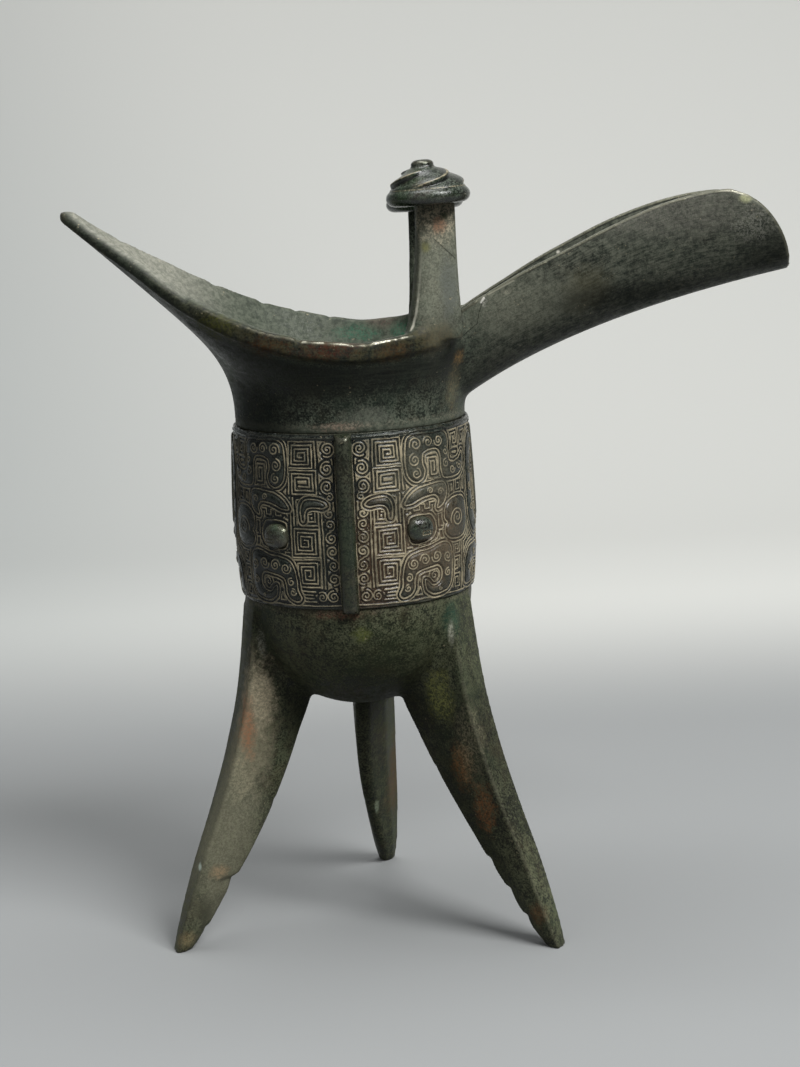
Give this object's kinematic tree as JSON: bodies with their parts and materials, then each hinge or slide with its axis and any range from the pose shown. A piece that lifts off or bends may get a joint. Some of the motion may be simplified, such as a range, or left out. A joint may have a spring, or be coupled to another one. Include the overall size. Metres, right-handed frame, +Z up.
{
  "type": "bronze jue wine vessel",
  "caption": "Three-legged bronze wine cup with a pouring spout, a pointed tail, capped posts, a carved mask band and a loop handle with a beast's head.",
  "frame": {"origin": "middle of the footprint's bounding box, on the plane that the feet stand on", "axes": "+Z up, +X towards the spout, +Y towards the handle"},
  "size_m": [0.1866, 0.0916, 0.2037],
  "materials": {
    "smooth_bronze": "aged bronze with a dark green-black satin patina",
    "carved_bronze": "cast relief with a dark patina and pale tan deposit in its lines",
    "worn_bronze": "matt olive and brown patina with rusty and pale patches"
  },
  "bodies": {
    "root": {"cup": "smooth_bronze", "mouth": "smooth_bronze", "tail": "smooth_bronze", "spout": "smooth_bronze", "near_post": "smooth_bronze", "near_cap": "smooth_bronze", "far_post": "smooth_bronze", "far_cap": "smooth_bronze", "rear_spout_panel": "carved_bronze", "rear_tail_panel": "carved_bronze", "front_tail_panel": "carved_bronze", "front_spout_panel": "carved_bronze", "front_ridge": "smooth_bronze", "spout_side_ridge": "smooth_bronze", "tail_side_ridge": "smooth_bronze", "front_tail_eye": "smooth_bronze", "front_spout_eye": "smooth_bronze", "rear_spout_eye": "smooth_bronze", "rear_tail_eye": "smooth_bronze", "rear_leg": "worn_bronze", "tail_side_leg": "worn_bronze", "spout_side_leg": "worn_bronze", "handle_strap": "smooth_bronze", "handle_head": "smooth_bronze", "spout_side_horn": "smooth_bronze", "tail_side_horn": "smooth_bronze"}
  },
  "joints": []
}
